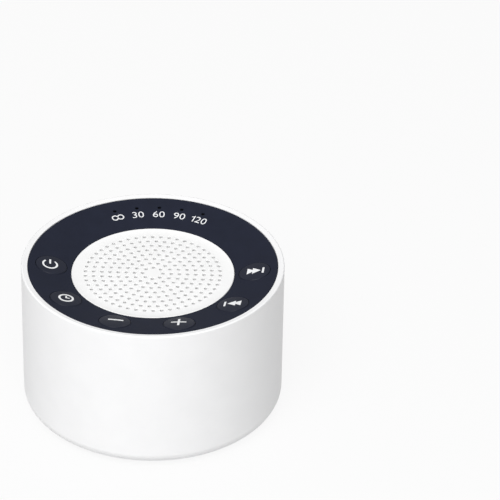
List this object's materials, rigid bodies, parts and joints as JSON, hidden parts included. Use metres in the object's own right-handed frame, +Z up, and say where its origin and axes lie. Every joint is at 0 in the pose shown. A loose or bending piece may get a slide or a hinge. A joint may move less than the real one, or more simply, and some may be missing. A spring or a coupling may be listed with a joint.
{
  "type": "white noise sound machine",
  "caption": "Round desktop sound machine with a dished control ring, push buttons, timer lights and a perforated speaker grille on top.",
  "frame": {"origin": "centre of the housing, on the surface that the feet stand on", "axes": "+Z up through the grille, -Y to the front where the volume buttons are, +X to the right"},
  "size_m": [0.09, 0.09, 0.0539],
  "materials": {
    "white_housing": "satin moulded, fine grain",
    "navy_panel": "fine matt texture",
    "clear_rods": "clear, polished",
    "black_cloth": "open weave",
    "black_plastic": "moulded",
    "cream_plastic": "moulded",
    "board_laminate": "solder mask",
    "bright_steel": "nickel plated",
    "plated_steel": "zinc plated",
    "ferrite": "ground, dark grey",
    "black_foam": "closed cell foam",
    "surround_rubber": "soft, matt",
    "cone_paper": "pressed paper",
    "copper_wire": "enamelled copper",
    "former_film": "brown film",
    "spider_cloth": "treated cotton",
    "terminal_strip": "laminated strip with tinned lugs",
    "capacitor_sleeve": "shrunk sleeve",
    "cell_foil": "silver pouch foil",
    "red_wire": "insulated",
    "black_wire": "insulated",
    "grey_ribbon": "flat cable",
    "grey_rubber": "matt, non-slip"
  },
  "bodies": {
    "housing": {"outer_shell": "white_housing", "base_cover": "white_housing", "grille": "white_housing", "control_ring": "navy_panel", "light_pipe": "clear_rods", "dust_mesh": "black_cloth", "power_switch": "black_plastic", "timer_switch": "black_plastic", "volume_down_switch": "black_plastic", "volume_up_switch": "black_plastic", "previous_switch": "black_plastic", "next_switch": "black_plastic", "power_socket_tongue": "black_plastic", "board_chips": "black_plastic", "key_board_socket": "cream_plastic", "lead_sockets": "cream_plastic", "timer_leds": "cream_plastic", "key_board": "board_laminate", "main_board": "board_laminate", "protection_board": "board_laminate", "key_board_screws": "bright_steel", "speaker_screws": "bright_steel", "main_board_screws": "bright_steel", "base_screws": "bright_steel", "power_socket": "bright_steel", "speaker_basket": "plated_steel", "top_plate": "plated_steel", "yoke": "plated_steel", "magnet": "ferrite", "speaker_gasket": "black_foam", "battery_pad": "black_foam", "surround": "surround_rubber", "spider": "spider_cloth", "speaker_terminals": "terminal_strip", "board_capacitors": "capacitor_sleeve", "battery": "cell_foil", "battery_lead": "red_wire", "speaker_lead": "black_wire", "ribbon_cable": "grey_ribbon", "rubber_foot_front": "grey_rubber", "rubber_foot_right": "grey_rubber", "rubber_foot_back": "grey_rubber", "rubber_foot_left": "grey_rubber"},
    "power_key": {"power_button": "navy_panel", "power_plunger": "cream_plastic"},
    "timer_key": {"timer_button": "navy_panel", "timer_plunger": "cream_plastic"},
    "volume_down_key": {"volume_down_button": "navy_panel", "volume_down_plunger": "cream_plastic"},
    "volume_up_key": {"volume_up_button": "navy_panel", "volume_up_plunger": "cream_plastic"},
    "previous_key": {"previous_button": "navy_panel", "previous_plunger": "cream_plastic"},
    "next_key": {"next_button": "navy_panel", "next_plunger": "cream_plastic"},
    "speaker_cone": {"cone": "cone_paper", "dust_cap": "cone_paper", "coil_former": "former_film", "voice_coil": "copper_wire"}
  },
  "joints": [
    {"name": "power_press", "type": "slide", "parent": "housing", "child": "power_key", "axis": [0, 0, 1], "range_m": [-0.0005, 0], "stiffness_N_per_m": 2500},
    {"name": "timer_press", "type": "slide", "parent": "housing", "child": "timer_key", "axis": [0, 0, 1], "range_m": [-0.0005, 0], "stiffness_N_per_m": 2500},
    {"name": "volume_down_press", "type": "slide", "parent": "housing", "child": "volume_down_key", "axis": [0, 0, 1], "range_m": [-0.0005, 0], "stiffness_N_per_m": 2500},
    {"name": "volume_up_press", "type": "slide", "parent": "housing", "child": "volume_up_key", "axis": [0, 0, 1], "range_m": [-0.0005, 0], "stiffness_N_per_m": 2500},
    {"name": "previous_press", "type": "slide", "parent": "housing", "child": "previous_key", "axis": [0, 0, 1], "range_m": [-0.0005, 0], "stiffness_N_per_m": 2500},
    {"name": "next_press", "type": "slide", "parent": "housing", "child": "next_key", "axis": [0, 0, 1], "range_m": [-0.0005, 0], "stiffness_N_per_m": 2500},
    {"name": "cone_stroke", "type": "slide", "parent": "housing", "child": "speaker_cone", "axis": [0, 0, 1], "range_m": [-0.0008, 0.0008], "stiffness_N_per_m": 1500, "deforming": ["surround", "spider"]}
  ]
}
